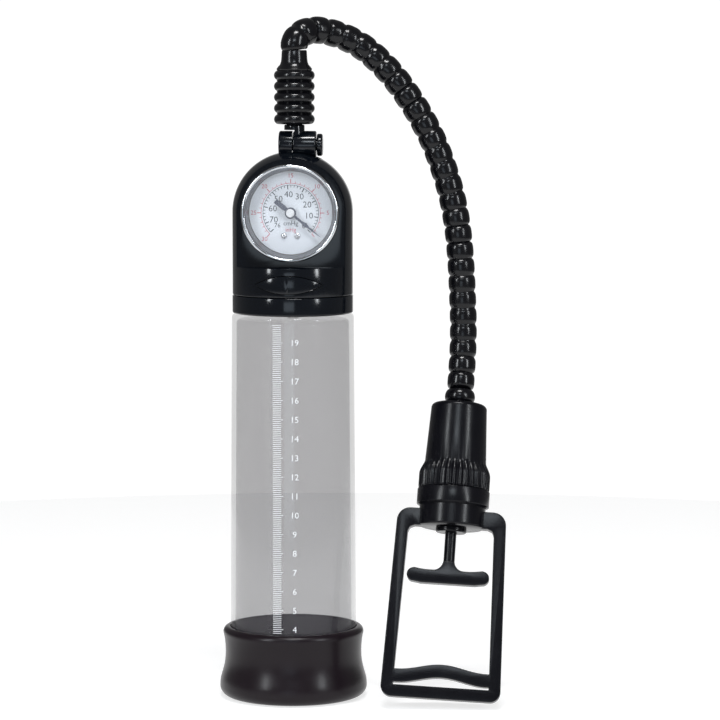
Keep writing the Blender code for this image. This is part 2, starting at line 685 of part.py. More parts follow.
def grip_height(x):
    """Height of the wavy bar above its ends, arched at the middle."""
    return 1.7 * (1 + math.cos(math.tau * x / 46.0)) if abs(x) < 23.0 else 0.0


def make_frame(pump):
    top = FRAME_TOP
    bottom = FRAME_BOTTOM
    high = leg_half(top)
    base = leg_half(bottom)
    outer = rounded([(-high, top), (high, top), (base, bottom), (-base, bottom)], (7.0, 7.0, 5.5, 5.5))
    frame = prism("frame_handle", outer, -FRAME_DEPTH / 2, FRAME_DEPTH / 2, "satin_black", pump)
    xs = [-24.0 + 6.0 * i for i in range(9)]
    wide = leg_half(FRAME_WEB) - LEG
    low = leg_half(GRIP_Z) - LEG
    hand = [(wide - 3.5, FRAME_WEB), (wide, FRAME_WEB - 3.5), (low, GRIP_Z - 0.2)]
    hand += [(x, GRIP_Z + grip_height(x)) for x in reversed(xs)]
    hand += [(-low, GRIP_Z - 0.2), (-wide, FRAME_WEB - 3.5), (3.5 - wide, FRAME_WEB)]
    cut(frame, prism("hand_gap", hand, -20.0, 20.0, None, pump))
    sill = bottom + SILL
    under = GRIP_Z - GRIP_THICK
    sides = leg_half(sill) - LEG
    slot = [(-sides, under)] + [(x, under + grip_height(x)) for x in xs]
    slot += [(sides, under), (sides, sill), (-sides, sill)]
    cut(frame, prism("sill_gap", slot, -20.0, 20.0, None, pump))
    bevel(frame, 1.3)

    collar = [(19.1, COLLAR_TOP), (19.1, -54.5), (17.4, -55.4), (17.4, COLLAR_BOTTOM + 1.2)]
    collar += [(16.2, COLLAR_BOTTOM), (6.3, COLLAR_BOTTOM), (6.3, -56.0), (12.4, -56.0)]
    collar += [(12.4, -52.4), (15.5, -52.4), (15.5, COLLAR_TOP)]
    core = cutter_rod("collar_room", 14.0, -70.0, -40.0, pump, (0, 0, 0), (0, 0, 0), MIDDLE)
    cut(frame, core)
    join(frame, turned("frame_collar", collar, ROUND, None, pump))

    flange = COLLAR_BOTTOM - GAP
    inside = STEM_R + 0.35
    bush = [(inside, flange - 2.3), (8.1, flange - 2.3), (8.1, flange)]
    bush += [(5.9, flange), (5.9, -57.0), (inside, -57.0)]
    turned("rod_bush", bush, MIDDLE, "satin_black", pump)


def make_plunger(pump):
    half = T_BAR_THICK / 2
    z = T_BAR_Z
    end = T_BAR_HALF
    outline = [(-3.0, z + half + 5.0), (3.0, z + half + 5.0)]
    outline += arc(8.0, z + half + 5.0, 5.0, 180, 270, 4)
    outline += [(14.0, z + half), (18.0, z + half + 0.8)]
    outline += arc(end - half, z + 0.6, half, 75, -90, 6)
    outline += [(14.0, z - half)]
    mirrored = [(-x, h) for x, h in reversed(outline[2:])]
    bar = prism("t_handle", outline + mirrored, -FRAME_DEPTH / 2, FRAME_DEPTH / 2, "satin_black", pump)
    bevel(bar, 1.3)
    stem = turned("t_stem", rod_profile(STEM_R, z, PISTON_BOTTOM - GAP), SMALL, None, pump)
    join(bar, stem)
    cut(bar, cutter_rod("stem_pilot", 1.6, -24.5, -10.0, pump, (0, 0, 0), (0, 0, 0), TINY))

    disc = [(1.6, PISTON_BOTTOM), (12.3, PISTON_BOTTOM), (12.3, -12.6), (10.6, -12.6)]
    disc += [(10.6, -9.4), (12.3, -9.4), (12.3, PISTON_TOP), (4.0, PISTON_TOP), (4.0, -10.0), (1.6, -10.0)]
    piston = turned("piston", disc, MIDDLE, "satin_black", pump)
    for i in range(3):
        a = math.tau * i / 3
        hole = (6.6 * math.cos(a), 6.6 * math.sin(a), 0)
        cut(piston, cutter_rod(f"piston_port_{i}", 1.0, -17.0, -5.0, pump, hole, (0, 0, 0), TINY), MANIFOLD)
    turned("piston_seal", arc(11.75, -11.0, 0.75, 0, 360, 6)[:-1], MIDDLE, "black_rubber", pump)
    screw = [(0, -22.0), (1.3, -22.0), (1.3, -9.7), (3.5, -9.7), (3.5, -8.2), (2.6, -7.4), (0, -7.2)]
    turned("piston_screw", screw, SMALL, "steel", pump)
    turned("exhaust_valve", ring_profile(STEM_R + 0.35, 8.3, -16.2, -15.3), MIDDLE, "black_rubber", pump)
    coil("return_spring", 10.2, 0.6, 7, -55.7, -15.4, "steel", pump, (0, 0, 0), (0, 0, 0), 10, 5)


def build():
    clear_scene()
    axis = empty("cylinder_axis", (CYLINDER_X, 0, 0))
    gauge = empty("gauge_axis", (0, 0, GAUGE_Z), axis, ALONG_Y)
    needle_axis = empty("needle_axis", (0, 0, 0), gauge, (0, 0, math.radians(NEEDLE_REST)))
    sector_axis = empty("sector_axis", sector_pivot(), gauge)
    button_axis = empty("button_axis", (0, 0, BUTTON_Z), axis)
    swivel = empty("swivel_axis", (0, 0, SWIVEL_Z), axis)
    below = Vector(PUMP_TOP) - Vector((0, 0, SWIVEL_Z))
    pump = empty("pump_axis", below, swivel, (PUMP_TILT, PUMP_LEAN, 0.0))
    bpy.context.view_layer.update()

    make_cylinder(axis)
    make_sleeve(axis)
    make_head_base(axis)
    make_head_body(axis)
    make_release(axis, button_axis)
    make_manifold(axis)
    make_gauge_shell(gauge)
    make_gauge_socket(gauge)
    make_movement(gauge)
    make_needle(gauge, needle_axis)
    make_sector(sector_axis)
    make_swivel(axis, swivel)
    make_hose_sleeve(swivel)
    make_hose(swivel, pump)
    make_barrel(pump)
    make_frame(pump)
    make_plunger(pump)


build()
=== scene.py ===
"""Looks of the hand vacuum pump: fine meshes, materials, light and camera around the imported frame."""

import math

import bmesh
import bpy
from mathutils import Matrix, Vector


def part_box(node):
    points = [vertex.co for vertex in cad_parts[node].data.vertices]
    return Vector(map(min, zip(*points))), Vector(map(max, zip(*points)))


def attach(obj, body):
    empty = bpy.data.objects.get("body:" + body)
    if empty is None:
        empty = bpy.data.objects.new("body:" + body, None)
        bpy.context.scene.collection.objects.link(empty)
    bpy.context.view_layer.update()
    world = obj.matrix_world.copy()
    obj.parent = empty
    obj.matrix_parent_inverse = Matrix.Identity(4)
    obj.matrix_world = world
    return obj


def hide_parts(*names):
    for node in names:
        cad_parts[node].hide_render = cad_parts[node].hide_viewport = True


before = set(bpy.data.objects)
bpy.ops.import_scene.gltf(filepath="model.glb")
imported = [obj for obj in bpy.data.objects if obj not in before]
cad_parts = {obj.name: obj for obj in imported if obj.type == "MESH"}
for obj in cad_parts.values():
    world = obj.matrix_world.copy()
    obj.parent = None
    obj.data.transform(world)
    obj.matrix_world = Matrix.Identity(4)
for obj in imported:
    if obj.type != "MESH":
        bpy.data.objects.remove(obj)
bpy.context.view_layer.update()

MM = 0.001


def middle(node, k):
    """Middle of a node's box along one axis, in millimetres."""
    low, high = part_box(node)
    return (low[k] + high[k]) / 2 / MM


def edge(node, k, top):
    """Lowest or highest place of a node along one axis, in millimetres."""
    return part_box(node)[1 if top else 0][k] / MM


# Places in millimetres, read from the frame except for the swivel pin's height
AXIS_X = middle("cylinder_tube", 0)
TUBE_BOTTOM = edge("cylinder_tube", 2, False)
TUBE_TOP = edge("cylinder_tube", 2, True)
GAUGE_Z = middle("gauge_bezel", 2)
HEAD_BOTTOM = edge("head_body", 2, False)
BASE_BOTTOM = edge("head_base", 2, False)
BASE_TOP = edge("head_base", 2, True)
SLEEVE_TOP = edge("hose_sleeve", 2, True)
SWIVEL_Z = 291.6

# The pump's own axis, as in the frame
PUMP_TOP = (87.5, 10.7, 154.0)
PUMP_TILT = math.radians(-16.8)
PUMP_LEAN = math.radians(3.2)

AT_AXIS = Matrix.Translation((AXIS_X, 0, 0))
AT_GAUGE = Matrix.Translation((AXIS_X, 0, GAUGE_Z)) @ Matrix.Rotation(math.pi / 2, 4, "X")
AT_SWIVEL = Matrix.Translation((AXIS_X, 0, SWIVEL_Z))
AT_PIN = AT_SWIVEL @ Matrix.Rotation(math.pi / 2, 4, "Y")
AT_PUMP = (
    Matrix.Translation((AXIS_X + PUMP_TOP[0], PUMP_TOP[1], PUMP_TOP[2]))
    @ Matrix.Rotation(PUMP_LEAN, 4, "Y")
    @ Matrix.Rotation(PUMP_TILT, 4, "X")
)
ALONG_Y = Matrix.Rotation(math.pi / 2, 4, "X")
ALONG_X = Matrix.Rotation(math.pi / 2, 4, "Y")

ROUND = 128
FINE = 72


# ---------------------------------------------------------------- materials

def material(
    name, colour, roughness, metallic=0.0, grain=900.0, bump=0.15, spread=0.06, tone=0.15, **sockets
):
    """A procedural finish: fine grain in the bump, soft patches in roughness and tone."""
    made = bpy.data.materials.new(name)
    made.use_nodes = True
    tree = made.node_tree
    shader = tree.nodes["Principled BSDF"]
    shader.inputs["Metallic"].default_value = metallic
    for socket, value in sockets.items():
        shader.inputs[socket.replace("_", " ")].default_value = value
    place = tree.nodes.new("ShaderNodeTexCoord")
    fine = tree.nodes.new("ShaderNodeTexNoise")
    fine.inputs["Scale"].default_value = grain
    fine.inputs["Detail"].default_value = 4.0
    broad = tree.nodes.new("ShaderNodeTexNoise")
    broad.inputs["Scale"].default_value = grain / 14
    broad.inputs["Detail"].default_value = 5.0
    tree.links.new(place.outputs["Object"], fine.inputs["Vector"])
    tree.links.new(place.outputs["Object"], broad.inputs["Vector"])
    gloss = tree.nodes.new("ShaderNodeMapRange")
    gloss.inputs["To Min"].default_value = max(roughness - spread, 0.02)
    gloss.inputs["To Max"].default_value = roughness + spread
    tree.links.new(broad.outputs["Fac"], gloss.inputs["Value"])
    tree.links.new(gloss.outputs["Result"], shader.inputs["Roughness"])
    shade = tree.nodes.new("ShaderNodeMix")
    shade.data_type = "RGBA"
    shade.inputs["A"].default_value = (*[c * (1 - tone) for c in colour], 1.0)
    shade.inputs["B"].default_value = (*[min(c * (1 + tone), 1.0) for c in colour], 1.0)
    tree.links.new(broad.outputs["Fac"], shade.inputs["Factor"])
    tree.links.new(shade.outputs["Result"], shader.inputs["Base Color"])
    relief = tree.nodes.new("ShaderNodeBump")
    relief.inputs["Strength"].default_value = bump
    relief.inputs["Distance"].default_value = 0.00008
    tree.links.new(fine.outputs["Fac"], relief.inputs["Height"])
    tree.links.new(relief.outputs["Normal"], shader.inputs["Normal"])
    return made


def make_materials():
    """Every finish of the object, by a short name."""
    return {
        "clear": material("clear_acrylic", (0.075, 0.07, 0.08), 0.10, grain=240, bump=0.01, tone=0.04,
                          Alpha=0.235, IOR=1.49, Specular_IOR_Level=0.8),
        "rubber": material("black_rubber", (0.007, 0.004, 0.006), 0.30, grain=1600, bump=0.20,
                           Specular_IOR_Level=0.22),
        "hose": material("hose_rubber", (0.002, 0.002, 0.003), 0.20, grain=1300, bump=0.10,
                         Specular_IOR_Level=0.32),
        "gloss": material("gloss_black_plastic", (0.002, 0.003, 0.005), 0.13, grain=700, bump=0.05,
                          Specular_IOR_Level=0.34),
        "satin": material("satin_black_plastic", (0.0025, 0.0025, 0.004), 0.24, grain=1500, bump=0.12,
                          Specular_IOR_Level=0.20),
        "chrome": material("polished_chrome", (0.58, 0.59, 0.61), 0.10, 1.0, grain=500,
                           bump=0.03, spread=0.04),
        "steel": material("bright_steel", (0.56, 0.57, 0.60), 0.28, 1.0, grain=1800, bump=0.15),
        "brass": material("machined_brass", (0.72, 0.52, 0.22), 0.30, 1.0, grain=1800, bump=0.15),
        "lens": material("lens_glass", (0.95, 0.97, 1.0), 0.05, grain=200, bump=0.01, spread=0.02,
                         tone=0.01, Alpha=0.05, IOR=1.5),
        "dial": material("dial_paper", (0.54, 0.57, 0.62), 0.50, grain=2500, bump=0.08, tone=0.03),
        # The bezel's inner wall is the chrome darkened to 0.17: painted shade for the recess between bezel
        # and dial.
        "wall": material("bezel_wall_painted_shade", (0.17, 0.17, 0.18), 0.22, 1.0, grain=900, bump=0.05),
        "ink_black": material("ink_black", (0.012, 0.015, 0.025), 0.55, grain=3000, bump=0.05),
        "ink_red": material("ink_red", (0.40, 0.05, 0.08), 0.55, grain=3000, bump=0.05),
        # White ink with a faint emission (0.05): a painted glow that brightens the scale print, not a lamp.
        "ink_white_glowing": material("ink_white_glowing", (0.62, 0.63, 0.65), 0.50, grain=3000, bump=0.05, tone=0.03,
                              Emission_Strength=0.05, Emission_Color=(1, 1, 1, 1)),
        "needle": material("needle_slate", (0.015, 0.022, 0.050), 0.40, grain=1200, bump=0.05),
        "cap": material("cap_white", (0.55, 0.56, 0.58), 0.35, grain=900, bump=0.05, tone=0.03),
    }


LOOK = make_materials()

CAD_LOOKS = {
    "rubber": ("tube_gasket", "air_riser", "valve_seal", "inlet_valve", "piston_seal", "exhaust_valve"),
    "satin": ("air_manifold", "gauge_case", "piston"),
    "steel": ("button_spring", "return_spring", "piston_screw"),
    "brass": ("gauge_socket", "bourdon_tube", "movement_frame", "needle_shaft", "sector_gear"),
}


def dress_cad_nodes():
    """Gives the inner CAD nodes, which keep their own meshes, their materials."""
    for look, nodes in CAD_LOOKS.items():
        for node in nodes:
            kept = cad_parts[node]
            kept.data.materials.clear()
            kept.data.materials.append(LOOK[look])


# ---------------------------------------------------------------- mesh helpers

def finish_mesh(name, bm, place, look, smooth=38.0):
    """Finishes a bmesh in millimetres as an object in metres at its place."""
    bmesh.ops.remove_doubles(bm, verts=bm.verts, dist=0.0005)
    bmesh.ops.recalc_face_normals(bm, faces=bm.faces)
    bmesh.ops.transform(bm, matrix=Matrix.Scale(MM, 4) @ place, verts=bm.verts)
    mesh = bpy.data.meshes.new(name)
    bm.to_mesh(mesh)
    bm.free()
    mesh.shade_smooth()
    mesh.set_sharp_from_angle(angle=math.radians(smooth))
    made = bpy.data.objects.new(name, mesh)
    bpy.context.scene.collection.objects.link(made)
    if look:
        mesh.materials.append(LOOK[look])
    return made


def arc(centre_r, centre_z, radius, start, end, steps):
    """Points of an arc in the profile plane, angles in degrees from +r towards +z."""
    points = []
    for i in range(steps + 1):
        a = math.radians(start + (end - start) * i / steps)
        points.append((centre_r + radius * math.cos(a), centre_z + radius * math.sin(a)))
    return points


def turned_mesh(profile, steps=ROUND):
    """Turns a closed (r, z) profile about Z."""
    bm = bmesh.new()
    ring = [bm.verts.new((r, 0.0, z)) for r, z in profile]
    edges = []
    for a, b in zip(ring, ring[1:] + ring[:1]):
        if a.co.x > 1e-6 or b.co.x > 1e-6:
            edges.append(bm.edges.new((a, b)))
    bmesh.ops.spin(
        bm, geom=ring + edges, cent=(0, 0, 0), axis=(0, 0, 1), angle=math.tau, steps=steps, use_merge=True
    )
    return bm


def turned(name, profile, place, look, steps=ROUND):
    return finish_mesh(name, turned_mesh(profile, steps), place, look)


def rounded_rod(radius, low, high, soft):
    """Profile of a rod whose two edges are rounded."""
    points = [(0, low)] + arc(radius - soft, low + soft, soft, -90, 0, 4)
    return points + arc(radius - soft, high - soft, soft, 0, 90, 4) + [(0, high)]


def extruded_mesh(corners, shift):
    """A flat face through the corners, extruded along the shift."""
    bm = bmesh.new()
    face = bm.faces.new([bm.verts.new(corner) for corner in corners])
    grown = bmesh.ops.extrude_face_region(bm, geom=[face])
    moved = [g for g in grown["geom"] if isinstance(g, bmesh.types.BMVert)]
    bmesh.ops.translate(bm, vec=shift, verts=moved)
    return bm


def prism(name, outline, low, high, place, look=None):
    """Extrudes an (x, z) outline along Y."""
    bm = extruded_mesh([(x, low, z) for x, z in outline], (0, high - low, 0))
    return finish_mesh(name, bm, place, look)


def block(name, low, high, place):
    bm = bmesh.new()
    size = Vector(high) - Vector(low)
    centre = (Vector(high) + Vector(low)) / 2
    bmesh.ops.create_cube(bm, size=1.0, matrix=Matrix.Translation(centre) @ Matrix.Diagonal(size).to_4x4())
    return finish_mesh(name, bm, place, None)


def combine(target, tool, operation, solver="EXACT"):
    """Booleans the tool into the target, keeps the result and removes the tool."""
    change = target.modifiers.new("combine", "BOOLEAN")
    change.operation = operation
    change.solver = solver
    change.object = tool
    bake(target)
    bpy.data.objects.remove(tool, do_unlink=True)


def bake(target):
    """Turns the object's modifiers into its mesh."""
    bpy.context.view_layer.update()
    graph = bpy.context.evaluated_depsgraph_get()
    mesh = bpy.data.meshes.new_from_object(target.evaluated_get(graph), depsgraph=graph)
    mesh.name = target.name
    target.modifiers.clear()
    target.data = mesh


def soften(target, width, segments=3, angle=30.0, smooth=60.0):
    """Rounds the object's sharp edges and shades them smoothly."""
    change = target.modifiers.new("edges", "BEVEL")
    change.width = width * MM
    change.segments = segments
    change.limit_method = "ANGLE"
    change.angle_limit = math.radians(angle)
    bake(target)
    target.data.shade_smooth()
    target.data.set_sharp_from_angle(angle=math.radians(smooth))


def place_piece(piece, body, slot, *nodes):
    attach(piece, body)
    if nodes:
        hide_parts(*nodes)


# ---------------------------------------------------------------- cylinder and sleeve

TUBE_R_BOTTOM = 33.65
TUBE_R_TOP = 32.2
TUBE_WALL = 2.5
TUBE_ROOF = 3.0
PORT_R = 3.0
FIRST_LINE = 38
LAST_LINE = 199
FIRST_NUMBER = 4
LAST_NUMBER = 19
LINES_START_X = -8.0
NUMBERS_X = 3.4


def tube_radius(z):
    """Outer radius of the drafted cylinder at a height."""
    t = (z - TUBE_BOTTOM) / (TUBE_TOP - TUBE_BOTTOM)
    return TUBE_R_BOTTOM + (TUBE_R_TOP - TUBE_R_BOTTOM) * t


def make_tube():
    soft = 2.0
    ceiling = TUBE_TOP - TUBE_ROOF
    profile = [(TUBE_R_BOTTOM - TUBE_WALL, TUBE_BOTTOM), (TUBE_R_BOTTOM - 0.4, TUBE_BOTTOM)]
    profile += [(TUBE_R_BOTTOM, TUBE_BOTTOM + 0.4)]
    profile += arc(TUBE_R_TOP - soft, TUBE_TOP - soft, soft, 0, 90, 8)
    profile += [(PORT_R, TUBE_TOP), (PORT_R, ceiling)]
    profile += arc(TUBE_R_TOP - TUBE_WALL - soft, ceiling - soft, soft, 90, 0, 6)
    tube = turned("clear_cylinder", profile, AT_AXIS, "clear")
    place_piece(tube, "cylinder", "clear_plastic", "cylinder_tube")


def text_mesh(bm, text, size, place, thick=0.05):
    """Adds flat lettering, centred on its place, to a bmesh."""
    curve = bpy.data.curves.new("lettering", "FONT")
    curve.body = text
    curve.size = size
    curve.extrude = thick / 2
    curve.resolution_u = 2
    curve.align_x = "CENTER"
    curve.align_y = "CENTER"
    letters = bpy.data.objects.new("lettering", curve)
    bpy.context.scene.collection.objects.link(letters)
    bpy.context.view_layer.update()
    graph = bpy.context.evaluated_depsgraph_get()
    mesh = bpy.data.meshes.new_from_object(letters.evaluated_get(graph), depsgraph=graph)
    mesh.transform(place)
    bm.from_mesh(mesh)
    bpy.data.objects.remove(letters, do_unlink=True)
    bpy.data.meshes.remove(mesh)


def add_box(bm, size, place):
    bmesh.ops.create_cube(bm, size=1.0, matrix=place @ Matrix.Diagonal(Vector(size)).to_4x4())


def on_tube(x, z, lift=0.03):
    """A frame on the front of the cylinder: local X to the right, local Y up, local Z outwards."""
    r = tube_radius(z) + lift
    a = math.asin(x / r)
    turn = Matrix.Rotation(a, 4, "Z") @ Matrix.Translation((0, -r, z))
    return turn @ Matrix.Rotation(math.pi / 2, 4, "X")


def scale_tick(bm, start, length, z, thick=0.30, steps=3):
    """One printed line that follows the cylinder's front, as a closed strip."""
    rows = []
    for i in range(steps + 1):
        place = on_tube(start + length * i / steps, z)
        corners = ((-thick / 2, 0.0), (thick / 2, 0.0), (thick / 2, 0.05), (-thick / 2, 0.05))
        rows.append([bm.verts.new(place @ Vector((0, up, out))) for up, out in corners])
    close_strip(bm, rows)


def close_strip(bm, rows):
    """Faces of a strip made of four-point rows, with both ends closed."""
    for one, two in zip(rows, rows[1:]):
        for k in range(4):
            n = (k + 1) % 4
            bm.faces.new((one[k], one[n], two[n], two[k]))
    bm.faces.new(rows[0])
    bm.faces.new(rows[-1])


def make_scale():
    """Millimetre lines and centimetre numbers printed on the front of the cylinder."""
    lines = bmesh.new()
    numbers = bmesh.new()
    for tick in range(FIRST_LINE, LAST_LINE + 1):
        length = 5.4 if tick % 10 == 0 else 4.4
        scale_tick(lines, LINES_START_X, length, tick + 0.2)
    for number in range(FIRST_NUMBER, LAST_NUMBER + 1):
        text_mesh(numbers, str(number), 4.6, on_tube(NUMBERS_X, number * 10.0))
    # The lines and numbers use the white ink with its faint painted glow.
    ticks = finish_mesh("scale_lines", lines, AT_AXIS, "ink_white_glowing")
    digits = finish_mesh("scale_numbers", numbers, AT_AXIS, "ink_white_glowing")
    place_piece(ticks, "cylinder", "cap_white")
    place_piece(digits, "cylinder", "cap_white")


def make_sleeve():
    rim_z = 34.0
    rim_r = 3.0
    inside = [(tube_radius(z) + 0.3, z) for z in (36.6, 20.0, TUBE_BOTTOM - 0.3)]
    lip = [(30.6, 2.0), (29.4, 4.2), (27.0, 5.8), (23.8, 7.8), (22.4, 8.2)]
    lip += [(21.7, 7.6), (22.1, 6.4), (24.6, 3.0), (26.0, 1.2), (27.5, 0.0)]
    foot = [(32.6, 0.0)] + arc(33.6, 5.4, 5.4, -90, 0, 12)[1:]
    waist = [(38.92, 7.2), (38.7, 9.0), (38.1, 11.2), (37.4, 13.6), (36.8, 16.0)]
    waist += [(36.35, 18.5), (36.1, 21.0), (36.05, 24.0), (36.15, 27.0), (36.4, 29.6)]
    rim = arc(37.2 - rim_r, rim_z, rim_r, -24, 100, 12)
    sleeve = turned("rubber_sleeve", inside + lip + foot + waist + rim, AT_AXIS, "rubber")
    place_piece(sleeve, "cylinder", "black_rubber", "base_sleeve")


# ---------------------------------------------------------------- head

HEAD_R = 31.7
HEAD_WALL = 2.8
LEDGE_Z = 228.3
FACE_Y = 14.5
CAVITY_TOP = 279.5
EAR_R = 7.3
BUTTON_Z = 219.9
BUTTON_SLOT = (35.5, 10.0)
BUTTON_FACE = (34.7, 9.2)
PIN_BORE_R = 3.3
BEYOND = 40.0
ABOVE = 330.0


def make_head_base():
    low = BASE_BOTTOM
    top = BASE_TOP
    profile = [(PORT_R, low + 2.0), (20.0, low + 2.0), (20.0, low), (30.6, low)]
    profile += arc(30.8, low + 1.0, 1.0, -80, 0, 5) + arc(31.3, top - 0.5, 0.5, 0, 90, 4)
    profile += [(26.2, top), (26.2, top - 4.0), (PORT_R, top - 4.0)]
    ring = turned("head_ring", profile, AT_AXIS, "gloss")
    place_piece(ring, "cylinder", "gloss_black", "head_base")


def almond(length, height, steps=20):
    """Outline of two equal arcs meeting in a point at each end."""
    radius = (length * length / 4 + height * height / 4) / height
    half = math.asin(length / 2 / radius)
    points = []
    for side in (1, -1):
        for i in range(steps):
            a = -half + 2 * half * i / steps
            rise = radius * math.cos(a) - radius + height / 2
            points.append((side * radius * math.sin(a), side * rise))
    return points


def make_head():
    shell = [(0, HEAD_BOTTOM)] + arc(HEAD_R - 0.5, HEAD_BOTTOM + 0.5, 0.5, -90, 0, 3)
    shell += arc(0, GAUGE_Z, HEAD_R, 0, 90, 32)
    body = turned("head_shell", shell, AT_AXIS, "gloss")
    flat = block("flat", (-BEYOND, -BEYOND, LEDGE_Z), (BEYOND, -FACE_Y, ABOVE), AT_AXIS)
    combine(body, flat, "DIFFERENCE", "MANIFOLD")
    ear = turned("ear", rounded_rod(EAR_R, -7.0, 4.0, 0.9), AT_PIN, None, FINE)
    combine(body, ear, "UNION", "MANIFOLD")
    reach = EAR_R + 0.5
    saddle = turned("saddle", [(0, 0.1), (reach, 0.1), (reach, 25), (0, 25)], AT_PIN, None, FINE)
    combine(body, saddle, "DIFFERENCE", "MANIFOLD")
    soften(body, 0.55, 3, 38.0)

    inner = HEAD_R - HEAD_WALL
    room = turned("room", [(0, 200), (inner, 200)] + arc(0, GAUGE_Z, inner, 0, 90, 16), AT_AXIS, None, FINE)
    low = (-BEYOND, -BEYOND, LEDGE_Z - HEAD_WALL)
    front = block("front", low, (BEYOND, HEAD_WALL - FACE_Y, ABOVE), AT_AXIS)
    combine(room, front, "DIFFERENCE", "MANIFOLD")
    top = block("top", (-BEYOND, -BEYOND, CAVITY_TOP), (BEYOND, BEYOND, ABOVE), AT_AXIS)
    combine(room, top, "DIFFERENCE", "MANIFOLD")
    combine(body, room, "DIFFERENCE", "MANIFOLD")
    hole = turned("hole", [(0, 8), (23.1, 8), (23.1, 30), (0, 30)], AT_GAUGE, None, ROUND)
    combine(body, hole, "DIFFERENCE", "MANIFOLD")
    bore = turned("bore", [(0, -5.2), (PIN_BORE_R, -5.2), (PIN_BORE_R, 5), (0, 5)], AT_PIN, None, 24)
    combine(body, bore, "DIFFERENCE", "MANIFOLD")
    at = AT_AXIS @ Matrix.Translation((0, 0, BUTTON_Z))
    slot = prism("slot", almond(*BUTTON_SLOT), -40.0, -20.0, at)
    combine(body, slot, "DIFFERENCE", "MANIFOLD")
    body.data.shade_smooth()
    body.data.set_sharp_from_angle(angle=math.radians(38))
    place_piece(body, "cylinder", "gloss_black", "head_body")


def make_button():
    at = AT_AXIS @ Matrix.Translation((0, 0, BUTTON_Z))
    button = prism("release_lens", almond(*BUTTON_FACE), -34.0, -22.0, at, "gloss")
    proud = HEAD_R + 0.8
    face = turned("face", [(0, -20), (proud, -20), (proud, 20), (0, 20)], at, None, ROUND)
    combine(button, face, "INTERSECT", "MANIFOLD")
    soften(button, 0.9, 3, 50.0)
    place_piece(button, "button", "gloss_black", "release_button")
    bar = turned("release_stem", rounded_rod(2.0, 5.5, 23.0, 0.4), at @ ALONG_Y, "gloss", 32)
    place_piece(bar, "button", "gloss_black")


# ---------------------------------------------------------------- gauge

ZERO_ANGLE = -44.5
ANGLE_PER_CM = 3.525
FULL_SCALE = 76
ANGLE_PER_INCH = 9.0
FULL_INCHES = 30
INCHES_START = -45
NEEDLE_REST = -38.7
DIAL_FRONT = 12.8
PRINT_Z = DIAL_FRONT + 0.03
PRINT_THICK = 0.04
RING_STEPS = 160


def make_bezel():
    outside = [(23.8, 14.8), (25.1, 14.8), (25.5, 15.2)] + arc(24.5, 19.6, 1.0, 0, 90, 8)
    lip = [(24.0, 20.5), (23.7, 20.2), (23.6, 19.8), (23.6, 19.4), (24.6, 19.4), (24.6, 17.8), (23.8, 17.8)]
    ring = turned("gauge_ring", outside + lip, AT_GAUGE, "chrome", RING_STEPS)
    place_piece(ring, "cylinder", "chrome", "gauge_bezel")
    # Inner wall of the bezel, in chrome made dark as painted shade in the recess around the dial.
    cone = [(21.9, 14.8), (23.55, 14.8), (23.55, 17.9), (23.3, 17.9)]
    wall = turned("gauge_wall_painted_shade", cone, AT_GAUGE, "wall", RING_STEPS)
    place_piece(wall, "cylinder", "chrome")
    glass = turned("gauge_window", rounded_rod(24.3, 18.1, 19.1, 0.15), AT_GAUGE, "lens", RING_STEPS)
    place_piece(glass, "cylinder", "lens_glass", "gauge_lens")


def ring_band(bm, inner, outer, start, end, low, high):
    """A thin printed arc on the dial, as a closed strip."""
    steps = max(int(abs(end - start) / 3), 2)
    rows = []
    for i in range(steps + 1):
        a = math.radians(start + (end - start) * i / steps)
        c, s = math.cos(a), math.sin(a)
        corners = ((inner, low), (outer, low), (outer, high), (inner, high))
        rows.append([bm.verts.new((r * c, r * s, z)) for r, z in corners])
    close_strip(bm, rows)


def dial_tick(bm, inner, outer, angle, width):
    turn = Matrix.Rotation(math.radians(angle), 4, "Z")
    centre = Matrix.Translation(((inner + outer) / 2, 0, PRINT_Z))
    add_box(bm, (outer - inner, width, PRINT_THICK), turn @ centre)


def dial_text(bm, text, size, radius, angle):
    a = math.radians(angle)
    place = Matrix.Translation((radius * math.cos(a), radius * math.sin(a), PRINT_Z))
    text_mesh(bm, text, size, place, PRINT_THICK)


